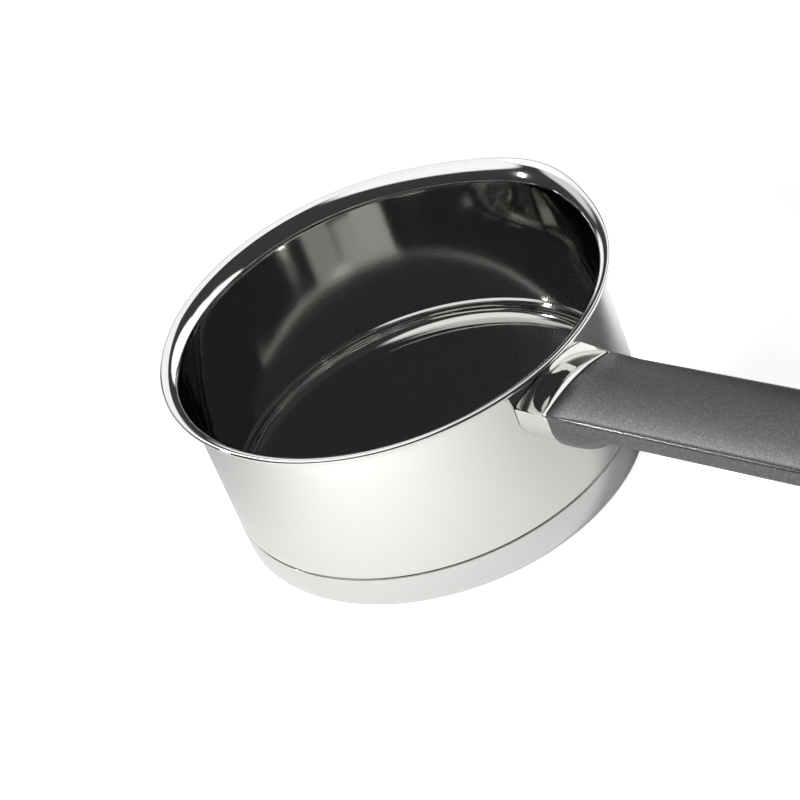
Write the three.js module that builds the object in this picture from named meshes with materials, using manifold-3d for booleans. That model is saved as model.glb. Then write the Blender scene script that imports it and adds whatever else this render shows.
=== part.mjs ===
// A 16 cm saucepan: drawn steel vessel with a flared rim and one pouring lip,
// sealed sandwich base, and a moulded grip screwed to a bracket on the wall.
// Millimetres, +Z up, origin at the centre of the base's underside, handle along +X.

import * as THREE from 'three';
import { mergeVertices } from 'three/addons/utils/BufferGeometryUtils.js';
import Module from 'manifold-3d';

const wasm = await Module();
wasm.setup();

const degree = Math.PI / 180;

// Fits
const seatGap = 0.3;
const slipFit = 0.4;

// Vessel
const bodyRadius = 80;
const potHeight = 76;
const vesselSheet = 1.0;
const floorCorner = 5.5;
const flareReach = 6.2;
const flareRise = 7;
const flareTurn = 78 * degree;

// Pouring lip, a quarter turn from the handle
const lipBearing = 90 * degree;
const lipReach = 4.8;
const lipHalfAngle = 16.5 * degree;
const lipDepth = 30;

// Sandwich base
const capSheet = 0.8;
const capEdgeRadius = 2.2;
const neckHeight = 1;
const grooveWidth = 0.9;
const coreThickness = 5;
const coreRim = 0.8;

// Handle, section and run
const handleDrop = 11;
const handleHalfWidth = 18.4;
const sideBand = 6.7;
const edgeRadius = 0.8;
const collarLength = 12;
const collarSheet = 1.2;
const collarFootHalfWidth = 19.2;
const collarFootCrown = 4.6;
const collarFootBelly = 15.3;
const collarSeamBelly = 13.5;
const gripLength = 163;
const gripTilt = 5.8 * degree;
const gripCrown = 2.3;
const gripBelly = 16;
const gripUnderside = 1.2;
const bellyHold = 5;
const bellyPastTang = 5;
const endFlat = 10.8;
const endRound = 1.5;

// Hanging slot
const slotLength = 22;
const slotWidth = 10;
const slotFromEnd = 9;

// Bracket and its screw
const footPlate = 2;
const footFlange = 4;
const footMargin = 5;
const tangPlate = 2;
const tangWidth = 15;
const tangFlange = 4;
const tangPastScrew = 5;
const screwFromSeam = 11;
const screwDiameter = 5;
const screwHeadDiameter = 9;
const screwHeadHeight = 3;
const screwHeadSink = 2.4;
const screwSeatWall = 3;
const washerThickness = 1;
const nutWidth = 8;
const nutHeight = 3.2;

// Facets
const turnSegments = 80;
const smallTurnSegments = 24;
const arcSteps = 5;
const weld = 1e-4;

// Places that follow from the sizes
const floorUnder = capSheet + seatGap + coreThickness + seatGap;
const capHeight = floorUnder + vesselSheet / 2 + floorCorner + neckHeight;
const wallMiddle = bodyRadius - vesselSheet / 2;
const neckMiddle = wallMiddle - capSheet - seatGap;
const flareStart = potHeight - vesselSheet / 2 - flareRise;
const seamX = bodyRadius + collarLength;
const gripEndX = seamX + gripLength;
const edgeZ = potHeight - handleDrop;
const gripRise = Math.tan(gripTilt);
const endCorner = handleHalfWidth - endFlat / 2;
const screwX = seamX + screwFromSeam;
const tangEndX = screwX + tangPastScrew;
const bellyEndX = tangEndX + bellyPastTang;
const bellyUnderScrew = edgeZ + gripRise * screwFromSeam - sideBand - bellyAt(screwX);
const screwHeadTop = bellyUnderScrew + screwHeadSink + screwHeadHeight;
const screwSeatZ = screwHeadTop + washerThickness + 2 * seatGap;
const tangBottom = screwSeatZ + screwSeatWall + slipFit;
const tangTop = tangBottom + tangFlange;
const nutBottom = tangTop + seatGap;

// A closed mesh as a solid for joins and cuts
function solidOf(geometry) {
  const bare = geometry.clone();
  bare.deleteAttribute('normal');
  bare.deleteAttribute('uv');
  const merged = mergeVertices(bare, weld);
  const corners = merged.index.array;
  const triangles = [];
  for (let i = 0; i < corners.length; i += 3) {
    const [a, b, c] = corners.slice(i, i + 3);
    if (a !== b && b !== c && c !== a) {
      triangles.push(a, b, c);
    }
  }
  return new wasm.Manifold(new wasm.Mesh({
    numProp: 3,
    vertProperties: new Float32Array(merged.attributes.position.array),
    triVerts: new Uint32Array(triangles),
  }));
}

function geometryOf(solid) {
  const mesh = solid.getMesh();
  const geometry = new THREE.BufferGeometry();
  geometry.setAttribute('position', new THREE.BufferAttribute(mesh.vertProperties, 3));
  geometry.setIndex(new THREE.BufferAttribute(mesh.triVerts, 1));
  geometry.computeVertexNormals();
  return geometry;
}

// A profile of (radius, height) points turned round the Z axis
function turned(profile, segments) {
  return new THREE.LatheGeometry(profile, segments).rotateX(Math.PI / 2);
}

function arc(centreX, centreY, radius, from, to, steps) {
  const points = [];
  for (let i = 0; i <= steps; i++) {
    const angle = from + (to - from) * i / steps;
    const x = centreX + radius * Math.cos(angle);
    const y = centreY + radius * Math.sin(angle);
    points.push(new THREE.Vector2(x, y));
  }
  return points;
}

// A path moved sideways, to its right where the distance is positive
function offsetPath(path, distance) {
  return path.map((point, i) => {
    const before = path[Math.max(i - 1, 0)];
    const after = path[Math.min(i + 1, path.length - 1)];
    const into = i > 0 ? point.clone().sub(before).normalize() : after.clone().sub(point).normalize();
    const out = i < path.length - 1 ? after.clone().sub(point).normalize() : into;
    const along = into.clone().add(out).normalize();
    const reach = distance / along.dot(into);
    return new THREE.Vector2(point.x + along.y * reach, point.y - along.x * reach);
  });
}

// The middle of the vessel's sheet, from the floor's centre up to the rim's edge
function vesselPath() {
  const floorMiddle = floorUnder + vesselSheet / 2;
  const corner = arc(
    neckMiddle - floorCorner,
    floorMiddle + floorCorner,
    floorCorner,
    -Math.PI / 2,
    0,
    arcSteps,
  );
  const path = [new THREE.Vector2(0, floorMiddle), ...corner];
  path.push(new THREE.Vector2(neckMiddle, capHeight));
  const wallStart = capHeight + grooveWidth;
  const wallRows = 8;
  for (let i = 0; i < wallRows; i++) {
    path.push(new THREE.Vector2(wallMiddle, wallStart + (flareStart - wallStart) * i / wallRows));
  }
  const flareAcross = (bodyRadius + flareReach - vesselSheet / 2 - wallMiddle) / (1 - Math.cos(flareTurn));
  const flareUp = flareRise / Math.sin(flareTurn);
  const flareSteps = 7;
  for (let i = 0; i <= flareSteps; i++) {
    const turn = flareTurn * i / flareSteps;
    const radius = wallMiddle + flareAcross * (1 - Math.cos(turn));
    path.push(new THREE.Vector2(radius, flareStart + flareUp * Math.sin(turn)));
  }
  return path;
}

// How far the lip carries the wall outwards at a bearing and a height
function lipBulge(bearing, height) {
  const offCentre = Math.atan2(Math.sin(bearing - lipBearing), Math.cos(bearing - lipBearing));
  const across = Math.exp(-Math.LN2 * (offCentre / lipHalfAngle) ** 2);
  const up = THREE.MathUtils.smoothstep(height, potHeight - lipDepth, potHeight);
  return lipReach * across * up;
}

function drawLip(geometry) {
  const positions = geometry.attributes.position;
  for (let i = 0; i < positions.count; i++) {
    const x = positions.getX(i);
    const y = positions.getY(i);
    const radius = Math.hypot(x, y);
    if (radius > weld) {
      const grown = 1 + lipBulge(Math.atan2(y, x), positions.getZ(i)) / radius;
      positions.setXY(i, x * grown, y * grown);
    }
  }
  return geometry;
}

function vesselGeometry() {
  const path = vesselPath();
  const outside = offsetPath(path, vesselSheet / 2);
  const inside = offsetPath(path, -vesselSheet / 2);
  const edge = path[path.length - 1];
  const outEdge = outside[outside.length - 1];
  const edgeAngle = Math.atan2(outEdge.y - edge.y, outEdge.x - edge.x);
  const rimEdge = arc(edge.x, edge.y, vesselSheet / 2, edgeAngle, edgeAngle + Math.PI, 4).slice(1, -1);
  const profile = [...outside, ...rimEdge, ...inside.reverse()];
  return geometryOf(solidOf(drawLip(turned(profile, turnSegments))));
}

// The vessel's outside, grown by the seat gap, for trimming what meets the wall
function vesselCutter() {
  const outside = offsetPath(vesselPath(), vesselSheet / 2 + seatGap);
  const top = outside[outside.length - 1];
  const profile = [...outside, new THREE.Vector2(0, top.y)];
  return solidOf(drawLip(turned(profile, turnSegments)));
}

function capGeometry() {
  const inner = bodyRadius - capSheet;
  const profile = [
    new THREE.Vector2(0, 0),
    ...arc(bodyRadius - capEdgeRadius, capEdgeRadius, capEdgeRadius, -Math.PI / 2, 0, arcSteps),
    new THREE.Vector2(bodyRadius, capHeight),
    new THREE.Vector2(inner, capHeight),
    ...arc(bodyRadius - capEdgeRadius, capEdgeRadius, capEdgeRadius - capSheet, 0, -Math.PI / 2, arcSteps),
    new THREE.Vector2(0, capSheet),
  ];
  return geometryOf(solidOf(turned(profile, turnSegments)));
}

// The core fills the space under the vessel's floor and its rounded corner
function coreGeometry() {
  const bottom = capSheet + seatGap;
  const outer = bodyRadius - bottom;
  const edge = Math.max(capEdgeRadius - bottom, seatGap);
  const centreX = neckMiddle - floorCorner;
  const centreZ = floorUnder + vesselSheet / 2 + floorCorner;
  const hollow = floorCorner + vesselSheet / 2 + seatGap;
  const rimAngle = -Math.acos((outer - coreRim - centreX) / hollow);
  const rimTop = centreZ + hollow * Math.sin(rimAngle);
  const profile = [
    new THREE.Vector2(0, bottom),
    ...arc(outer - edge, bottom + edge, edge, -Math.PI / 2, 0, 3),
    new THREE.Vector2(outer, rimTop),
    ...arc(centreX, centreZ, hollow, rimAngle, -Math.PI / 2, arcSteps),
    new THREE.Vector2(0, centreZ - hollow),
  ];
  return geometryOf(solidOf(turned(profile, turnSegments)));
}

// One cross-section of the handle: crowned top, flat sides, half-elliptic belly
function handleSection({ x, top, halfWidth, crown, side, belly, edge }) {
  const ring = [];
  const put = (y, z) => ring.push(new THREE.Vector3(x, y, z));
  const flat = halfWidth - edge;
  const filletSteps = 2;
  const crownSteps = 8;
  const bellySteps = 16;
  for (let i = 0; i < filletSteps; i++) {
    const angle = Math.PI / 2 * i / filletSteps;
    put(flat + edge * Math.cos(angle), top - edge + edge * Math.sin(angle));
  }
  for (let i = 0; i <= crownSteps; i++) {
    const share = 1 - 2 * i / crownSteps;
    put(flat * share, top + crown * (1 - share * share));
  }
  for (let i = 1; i <= filletSteps; i++) {
    const angle = Math.PI / 2 * (1 + i / filletSteps);
    put(-flat + edge * Math.cos(angle), top - edge + edge * Math.sin(angle));
  }
  for (let i = 0; i <= bellySteps; i++) {
    const angle = Math.PI * (1 + i / bellySteps);
    put(halfWidth * Math.cos(angle), top - side + belly * Math.sin(angle));
  }
  return ring;
}

// A skin over rings of equal count, closed by a flat face at each end
function loft(rings) {
  const count = rings[0].length;
  const positions = rings.flat().flatMap((point) => point.toArray());
  const index = [];
  for (let ring = 0; ring < rings.length - 1; ring++) {
    for (let i = 0; i < count; i++) {
      const a = ring * count + i;
      const b = ring * count + (i + 1) % count;
      index.push(a, b, b + count, a, b + count, a + count);
    }
  }
  const last = (rings.length - 1) * count;
  const flatRing = (ring) => ring.map((point) => new THREE.Vector2(point.y, point.z));
  for (const [a, b, c] of THREE.ShapeUtils.triangulateShape(flatRing(rings[0]), [])) {
    index.push(a, c, b);
  }
  for (const [a, b, c] of THREE.ShapeUtils.triangulateShape(flatRing(rings[rings.length - 1]), [])) {
    index.push(last + a, last + b, last + c);
  }
  const geometry = new THREE.BufferGeometry();
  geometry.setAttribute('position', new THREE.Float32BufferAttribute(positions, 3));
  geometry.setIndex(index);
  return geometry;
}

// The collar tapers from its foot on the wall to the seam; the inset makes room for its bore
function collarSection(x, inset) {
  const between = (atFoot, atSeam) => THREE.MathUtils.mapLinear(x, bodyRadius, seamX, atFoot, atSeam);
  return handleSection({
    x,
    top: edgeZ - inset,
    halfWidth: between(collarFootHalfWidth, handleHalfWidth) - inset,
    crown: between(collarFootCrown, gripCrown),
    side: sideBand - inset,
    belly: between(collarFootBelly, collarSeamBelly) - inset,
    edge: edgeRadius,
  });
}

function collarGeometry() {
  const overrun = collarLength / 2;
  const startX = bodyRadius - overrun;
  const outside = loft([collarSection(startX, 0), collarSection(seamX, 0)]);
  const bore = loft([
    collarSection(startX - overrun, collarSheet),
    collarSection(seamX + overrun, collarSheet),
  ]);
  return geometryOf(solidOf(outside).subtract(solidOf(bore)).subtract(vesselCutter()));
}

// The grip's depth below its side bands: full at the collar, scooped away to the flat bar
function bellyAt(x) {
  const holdX = seamX + bellyHold;
  const run = THREE.MathUtils.clamp((x - holdX) / (bellyEndX - holdX), 0, 1);
  return gripUnderside + (gripBelly - gripUnderside) * Math.sqrt(1 - run * run);
}

function gripSection(x, inset) {
  const intoEnd = THREE.MathUtils.clamp((x - gripEndX) / endCorner + 1, 0, 1);
  const narrowed = endCorner * (1 - Math.sqrt(1 - intoEnd * intoEnd));
  return handleSection({
    x,
    top: edgeZ + gripRise * (x - seamX) - inset,
    halfWidth: handleHalfWidth - narrowed - inset,
    crown: gripCrown,
    side: sideBand - 2 * inset,
    belly: bellyAt(x),
    edge: edgeRadius,
  });
}

function gripStations() {
  const holdX = seamX + bellyHold;
  const stations = [seamX + seatGap, holdX];
  const bellySteps = 8;
  for (let i = 1; i <= bellySteps; i++) {
    stations.push(holdX + (bellyEndX - holdX) * Math.sin(Math.PI / 2 * i / bellySteps));
  }
  const endSteps = 6;
  for (let i = 0; i < endSteps; i++) {
    stations.push(gripEndX - endCorner + endCorner * Math.sin(Math.PI / 2 * i / endSteps));
  }
  return stations;
}

// A prism of an outline in the Y-Z plane, run along X
function alongX(outline, fromX, toX) {
  const axes = new THREE.Matrix4().makeBasis(
    new THREE.Vector3(0, 1, 0),
    new THREE.Vector3(0, 0, 1),
    new THREE.Vector3(1, 0, 0),
  );
  const prism = new THREE.ExtrudeGeometry(outline, { depth: toX - fromX, bevelEnabled: false });
  return prism.applyMatrix4(axes).translate(fromX, 0, 0);
}

function rectangle(left, bottom, right, top) {
  return new THREE.Shape([
    new THREE.Vector2(left, bottom),
    new THREE.Vector2(right, bottom),
    new THREE.Vector2(right, top),
    new THREE.Vector2(left, top),
  ]);
}

// A round bar standing on the screw's axis
function onScrewAxis(radius, fromZ, toZ) {
  const bar = new THREE.CylinderGeometry(radius, radius, toZ - fromZ, smallTurnSegments);
  return bar.rotateX(Math.PI / 2).translate(screwX, 0, (fromZ + toZ) / 2);
}

function gripGeometry() {
  const rings = gripStations().map((x) => gripSection(x, 0));
  rings.push(gripSection(gripEndX, endRound));
  let grip = solidOf(loft(rings));

  const pocketHalf = tangWidth / 2 + slipFit;
  const pocketTop = nutBottom + nutHeight + slipFit;
  const pocket = rectangle(-pocketHalf, tangBottom - slipFit, pocketHalf, pocketTop);
  grip = grip.subtract(solidOf(alongX(pocket, seamX - endRound, tangEndX + slipFit)));

  const low = edgeZ - sideBand - gripBelly - collarLength;
  grip = grip.subtract(solidOf(onScrewAxis(screwHeadDiameter / 2 + slipFit, low, screwSeatZ)));
  grip = grip.subtract(solidOf(onScrewAxis(screwDiameter / 2 + slipFit, low, tangTop)));

  const slotCentreX = gripEndX - slotFromEnd - slotLength / 2;
  const half = slotLength / 2 - slotWidth / 2;
  const slot = new THREE.Shape();
  slot.absarc(half, 0, slotWidth / 2, -Math.PI / 2, Math.PI / 2);
  slot.absarc(-half, 0, slotWidth / 2, Math.PI / 2, Math.PI * 3 / 2);
  const slotFloor = edgeZ - sideBand - gripBelly;
  const slotDepth = gripBelly + sideBand + gripCrown + gripRise * gripLength + collarLength;
  const slotTool = new THREE.ExtrudeGeometry(slot, { depth: slotDepth, bevelEnabled: false, curveSegments: 10 });
  grip = grip.subtract(solidOf(slotTool.translate(slotCentreX, 0, slotFloor)));
  return geometryOf(grip);
}

// Stamped bracket: a foot curved to the wall and a channel-shaped tang with the screw's hole
function bracketGeometry() {
  const inner = bodyRadius + seatGap;
  const outer = inner + footPlate;
  const footHalf = collarFootHalfWidth - collarSheet - footMargin;
  const spread = Math.asin(footHalf / outer);
  const outline = new THREE.Shape();
  outline.absarc(0, 0, outer, -spread, spread, false);
  outline.absarc(0, 0, inner, spread, -spread, true);
  const footHeight = tangFlange + 2 * footFlange;
  const foot = new THREE.ExtrudeGeometry(outline, { depth: footHeight, bevelEnabled: false, curveSegments: 10 });
  foot.translate(0, 0, tangBottom - footFlange);

  const half = tangWidth / 2;
  const innerHalf = half - tangPlate;
  const channel = new THREE.Shape([
    new THREE.Vector2(-half, tangBottom),
    new THREE.Vector2(-innerHalf, tangBottom),
    new THREE.Vector2(-innerHalf, tangTop - tangPlate),
    new THREE.Vector2(innerHalf, tangTop - tangPlate),
    new THREE.Vector2(innerHalf, tangBottom),
    new THREE.Vector2(half, tangBottom),
    new THREE.Vector2(half, tangTop),
    new THREE.Vector2(-half, tangTop),
  ]);
  const tang = alongX(channel, inner + footPlate / 2, tangEndX);
  const hole = onScrewAxis(screwDiameter / 2 + slipFit, tangBottom, tangTop + footPlate);
  return geometryOf(solidOf(foot).add(solidOf(tang)).subtract(solidOf(hole)));
}

// Hexagonal nut on top of the tang
function nutGeometry() {
  const body = new THREE.CylinderGeometry(nutWidth / Math.sqrt(3), nutWidth / Math.sqrt(3), nutHeight, 6);
  body.rotateX(Math.PI / 2).translate(screwX, 0, nutBottom + nutHeight / 2);
  const bore = onScrewAxis(screwDiameter / 2 + slipFit, nutBottom - nutHeight, nutBottom + nutHeight * 2);
  return geometryOf(solidOf(body).subtract(solidOf(bore)));
}

function screwGeometry() {
  const shank = screwDiameter / 2;
  const head = screwHeadDiameter / 2;
  const headEdge = screwHeadHeight / 2;
  const tip = nutBottom + nutHeight;
  const profile = [
    new THREE.Vector2(0, screwHeadTop - screwHeadHeight),
    ...arc(head - headEdge, screwHeadTop - headEdge, headEdge, -Math.PI / 2, 0, 4),
    new THREE.Vector2(head, screwHeadTop),
    new THREE.Vector2(shank, screwHeadTop),
    new THREE.Vector2(shank, tip),
    new THREE.Vector2(0, tip),
  ];
  return geometryOf(solidOf(turned(profile, smallTurnSegments))).translate(screwX, 0, 0);
}

function washerGeometry() {
  const top = screwSeatZ - seatGap;
  const ring = onScrewAxis(screwHeadDiameter / 2, top - washerThickness, top);
  const bore = onScrewAxis(screwDiameter / 2 + slipFit, top - 2 * washerThickness, top + washerThickness);
  return geometryOf(solidOf(ring).subtract(solidOf(bore)));
}

function addPiece(parent, name, geometry, color, roughness, metalness) {
  const mesh = new THREE.Mesh(geometry, new THREE.MeshStandardMaterial({ color, roughness, metalness }));
  mesh.name = name;
  parent.add(mesh);
}

const saucepan = new THREE.Group();
saucepan.name = 'saucepan';

const base = new THREE.Group();
addPiece(base, 'base_cap', capGeometry(), 0xd6d5d1, 0.12, 1);
addPiece(base, 'heat_core', coreGeometry(), 0xb8bcc0, 0.45, 1);

const handle = new THREE.Group();
addPiece(handle, 'handle_bracket', bracketGeometry(), 0xc2c1bd, 0.35, 1);
addPiece(handle, 'bracket_nut', nutGeometry(), 0xb2b1ac, 0.4, 1);
addPiece(handle, 'handle_collar', collarGeometry(), 0xe0dfdb, 0.05, 1);
addPiece(handle, 'handle_grip', gripGeometry(), 0x5f5d5e, 0.5, 0.3);
addPiece(handle, 'handle_screw', screwGeometry(), 0xb2b1ac, 0.3, 1);
addPiece(handle, 'screw_washer', washerGeometry(), 0xa9a8a4, 0.35, 1);

addPiece(saucepan, 'pot_body', vesselGeometry(), 0xdcdbd7, 0.07, 1);
saucepan.add(base, handle);

export default saucepan;
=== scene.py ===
"""A polished steel saucepan with a grey handle, on a white studio floor."""

import math

import bmesh
import bpy
from mathutils import Matrix, Vector

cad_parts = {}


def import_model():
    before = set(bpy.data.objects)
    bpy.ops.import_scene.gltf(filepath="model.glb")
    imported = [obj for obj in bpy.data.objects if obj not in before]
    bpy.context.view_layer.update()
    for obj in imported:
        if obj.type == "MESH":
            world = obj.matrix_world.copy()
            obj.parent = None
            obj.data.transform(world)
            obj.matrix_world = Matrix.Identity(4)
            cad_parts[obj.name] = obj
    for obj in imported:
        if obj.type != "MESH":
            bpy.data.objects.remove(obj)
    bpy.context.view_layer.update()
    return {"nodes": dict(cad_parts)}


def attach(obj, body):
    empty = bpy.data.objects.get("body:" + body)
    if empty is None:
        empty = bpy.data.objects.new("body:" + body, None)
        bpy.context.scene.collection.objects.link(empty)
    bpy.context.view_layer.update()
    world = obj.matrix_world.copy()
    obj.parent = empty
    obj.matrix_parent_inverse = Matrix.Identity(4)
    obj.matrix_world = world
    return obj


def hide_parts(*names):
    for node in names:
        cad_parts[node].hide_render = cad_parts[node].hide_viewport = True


MM = 0.001

# Points nearer the axis than this, in millimetres, are on it; points this near, in metres, are one
ON_AXIS = 1e-6
SAME_POINT = 1e-7

# Sizes of the pan in millimetres, the main ones as in the solid model
SEAT_GAP = 0.3
BODY_RADIUS = 80.0
POT_HEIGHT = 76.0
VESSEL_SHEET = 1.0
FLOOR_CORNER = 5.5
FLARE_REACH = 6.18
FLARE_RISE = 7.0
FLARE_TURN = math.radians(78)
RIM_EDGE = 1.8
LIP_BEARING = math.radians(90)
LIP_REACH = 4.8
LIP_HALF_ANGLE = math.radians(16.5)
LIP_DEPTH = 30.0
CAP_SHEET = 0.8
CAP_EDGE_RADIUS = 2.2
CAP_LIP_RADIUS = 0.12
NECK_HEIGHT = 1.0
NECK_SHORT = 0.1
GROOVE_WIDTH = 0.9
GROOVE_EDGE = 0.15
CORE_THICKNESS = 5.0

HANDLE_DROP = 11.0
HANDLE_HALF_WIDTH = 18.4
SIDE_BAND = 6.7
COLLAR_LENGTH = 12.0
COLLAR_SHEET = 1.2
COLLAR_EDGE = 0.6
COLLAR_ROLL = 1.5
COLLAR_ROLL_IN = 0.06
COLLAR_ROLL_DROP = 0.7
COLLAR_FOOT_HALF_WIDTH = 19.2
COLLAR_FOOT_CROWN = 4.6
COLLAR_FOOT_BELLY = 15.3
COLLAR_SEAM_BELLY = 13.5
GRIP_LENGTH = 163.0
GRIP_RISE = math.tan(math.radians(5.8))
GRIP_CROWN = 2.3
GRIP_BELLY = 16.0
GRIP_UNDERSIDE = 1.2
BELLY_HOLD = 5.0
BELLY_LENGTH = 21.0
BELLY_THINNEST = 0.2
GRIP_EDGE_AT_SEAM = 0.45
GRIP_EDGE_ALONG = 1.3
GRIP_EDGE_START = 2.0
GRIP_EDGE_FULL = 16.0
END_FLAT = 10.8
END_ROUND = 1.5
SLOT_LENGTH = 22.0
SLOT_WIDTH = 10.0
SLOT_FROM_END = 9.0
SLOT_EDGE = 1.0

SLIP_FIT = 0.4
SCREW_FROM_SEAM = 11.0
SCREW_DIAMETER = 5.0
SCREW_HEAD_DIAMETER = 9.0
SCREW_HEAD_HEIGHT = 3.0
SCREW_HEAD_SINK = 2.4
SCREW_SEAT_WALL = 3.0
SCREW_PITCH = 0.8
THREAD_DEPTH = 0.4 * SCREW_PITCH
RECESS_EDGE = 0.6
WASHER_THICKNESS = 1.0
TANG_WIDTH = 15.0
TANG_FLANGE = 4.0
TANG_PAST_SCREW = 5.0
NUT_HEIGHT = 3.2

# The cross recess of the screw: half length, half width, and height over the face of its head
SCREW_CROSS = (
    (2.7, 0.75, -0.5),
    (2.5, 0.65, 0.0),
    (1.1, 0.4, 1.7),
)

# How far the handle's top edges roll inwards and down, in radii of the edge
EDGE_ROLL = 1.85
EDGE_FALL = 1.1

# Places and sizes that follow from these
FLOOR_UNDER = CAP_SHEET + CORE_THICKNESS + 2 * SEAT_GAP
CAP_HEIGHT = FLOOR_UNDER + VESSEL_SHEET / 2 + FLOOR_CORNER + NECK_HEIGHT
WALL_MIDDLE = BODY_RADIUS - VESSEL_SHEET / 2
NECK_MIDDLE = WALL_MIDDLE - CAP_SHEET - SEAT_GAP
FLARE_START = POT_HEIGHT - VESSEL_SHEET / 2 - FLARE_RISE
SEAM_X = BODY_RADIUS + COLLAR_LENGTH
GRIP_END_X = SEAM_X + GRIP_LENGTH
EDGE_Z = POT_HEIGHT - HANDLE_DROP
END_CORNER = HANDLE_HALF_WIDTH - END_FLAT / 2
SCREW_X = SEAM_X + SCREW_FROM_SEAM
BELLY_RUN_AT_SCREW = (SCREW_FROM_SEAM - BELLY_HOLD) / (BELLY_LENGTH - BELLY_HOLD)
BELLY_SHARE_AT_SCREW = math.sqrt(1 - BELLY_RUN_AT_SCREW ** 2)
BELLY_AT_SCREW = GRIP_UNDERSIDE + (GRIP_BELLY - GRIP_UNDERSIDE) * BELLY_SHARE_AT_SCREW
BELLY_UNDER_SCREW = EDGE_Z + GRIP_RISE * SCREW_FROM_SEAM - SIDE_BAND - BELLY_AT_SCREW
SCREW_HEAD_BOTTOM = BELLY_UNDER_SCREW + SCREW_HEAD_SINK
SCREW_HEAD_TOP = SCREW_HEAD_BOTTOM + SCREW_HEAD_HEIGHT
SCREW_SEAT_Z = SCREW_HEAD_TOP + WASHER_THICKNESS + 2 * SEAT_GAP
TANG_BOTTOM = SCREW_SEAT_Z + SCREW_SEAT_WALL + SLIP_FIT
TANG_TOP = TANG_BOTTOM + TANG_FLANGE
NUT_TOP = TANG_TOP + SEAT_GAP + NUT_HEIGHT

# How finely the meshes are cut, and the angles in degrees from which an edge is shaded sharp
VESSEL_SEGMENTS = 360
CAP_SEGMENTS = 288
SCREW_SEGMENTS = 64
FLOOR_RING_STEP = 16.0
FLOOR_RINGS = 4
CAP_RING_STEP = 8.0
CAP_RINGS = 9
CORNER_STEPS = 14
SHARP_ANGLE = 40
SCREW_SHARP_ANGLE = 35
CUTTER_SHARP_ANGLE = 30

# Finish of the metals: scales per metre, how the haze changes colour and roughness, and the
# height of the polishing lines in metres
HAZE_SCALE = 22.0
HAZE_DARKER = 0.95
HAZE_SMOOTHER = 0.7
HAZE_ROUGHER = 1.3
LINE_SCALE = 30.0
LINE_HEIGHT = 0.0002

# The heights round the flare's foot over which painted shade darkens the vessel's inside below, in
# millimetres
PAINTED_SHADE_BELOW = 1.0
PAINTED_SHADE_ABOVE = 0.8 * FLARE_RISE

# Finish of the grip: scales per metre, linear colours, and the height of its grain in metres
FLAKE_SCALE = 4200.0
FLAKE_FROM = 0.6
FLAKE_COLOUR = (0.29, 0.29, 0.29, 1)
GRAIN_SCALE = 1500.0
GRAIN_STRENGTH = 0.1
GRAIN_HEIGHT = 0.0001
GRIP_DARK = (0.088, 0.086, 0.087, 1)
GRIP_LIGHT = (0.124, 0.122, 0.123, 1)
GRIP_ROUGHNESS = (0.24, 0.34)
GRIP_METALLIC = 0.8

# The floor, in millimetres, and its matt white
FLOOR_HALF_SIZE = 3000.0
FLOOR_DROP = 0.02
FLOOR_MATT = (0.8, 0.8, 0.8, 1)
WHITE = (1, 1, 1, 1)

# Light levels, where one is white
FILL_LEVEL = 0.06
ROOM_LEVEL = 0.05

# The floor's glow near the pan and away from it, and the distances in metres between which it
# rises: as shown to the camera, and as mirrored in metal
SHOWN_GLOW = (0.86, 0.97, 0.12, 0.45)
MIRRORED_GLOW = (0.0, 0.85, 0.15, 0.22)

# Shares of the mirrored glow by heading: the heading, the degrees from it to the full and outer
# edges, and the shares outside and inside
FLOOR_SHARES = (
    (55, 37, 53, 0.6, 1.0),
    (-25, 32, 53, 1.0, 0.1),
)

# Soft panels that metal sees in the room: heading and lift, the degrees from the middle to the
# full and outer edges, and the level
SEEN_BY_METAL = (
    (150, 58, 26, 30, 1.15),
    (127, 38, 14.5, 17.5, 1.15),
    (172, 46, 6, 12, 4.2),
    (250, 66, 22, 29, 1.2),
    (183, 30, 10, 17, 0.8),
    (163, 8, 6, 10, 1.15),
    (141, 10, 4.5, 8, 1.1),
    (45, 4, 17, 21, 1.4),
    (61, 4, 17, 21, 1.4),
    (84, 4, 22, 25, 1.4),
)

# Camera: place in metres, angles in degrees, lens in millimetres, and how far it sees in metres
CAMERA_PLACE = (0.6977, -0.4879, 0.6379)
CAMERA_AROUND = -34.5
CAMERA_ABOVE = 35.395
CAMERA_ROLL = -22.207
CAMERA_LENS = 126.0
CAMERA_FAR = 100.0


def clamp(value, low=0.0, high=1.0):
    return max(low, min(high, value))


def mix(a, b, share):
    return a + (b - a) * share


def smooth(value, low, high):
    share = clamp((value - low) / (high - low))
    return share * share * (3 - 2 * share)


# Mesh building

def shade(mesh, sharp_angle):
    """Smooth shading, apart from edges sharper than an angle in degrees."""
    mesh.shade_smooth()
    mesh.set_sharp_from_angle(angle=math.radians(sharp_angle))


def add_object(name, vertices, faces, sharp_angle):
    """A smooth-shaded mesh object from points in millimetres."""
    mesh = bpy.data.meshes.new(name)
    mesh.from_pydata([Vector(v) * MM for v in vertices], [], faces)
    mesh.validate()
    shade(mesh, sharp_angle)
    piece = bpy.data.objects.new(name, mesh)
    bpy.context.scene.collection.objects.link(piece)
    return piece


def tidy_normals(piece):
    """Join points in the same place and turn every face outwards."""
    work = bmesh.new()
    work.from_mesh(piece.data)
    bmesh.ops.remove_doubles(work, verts=work.verts, dist=SAME_POINT)
    bmesh.ops.recalc_face_normals(work, faces=work.faces)
    work.to_mesh(piece.data)
    work.free()


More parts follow.
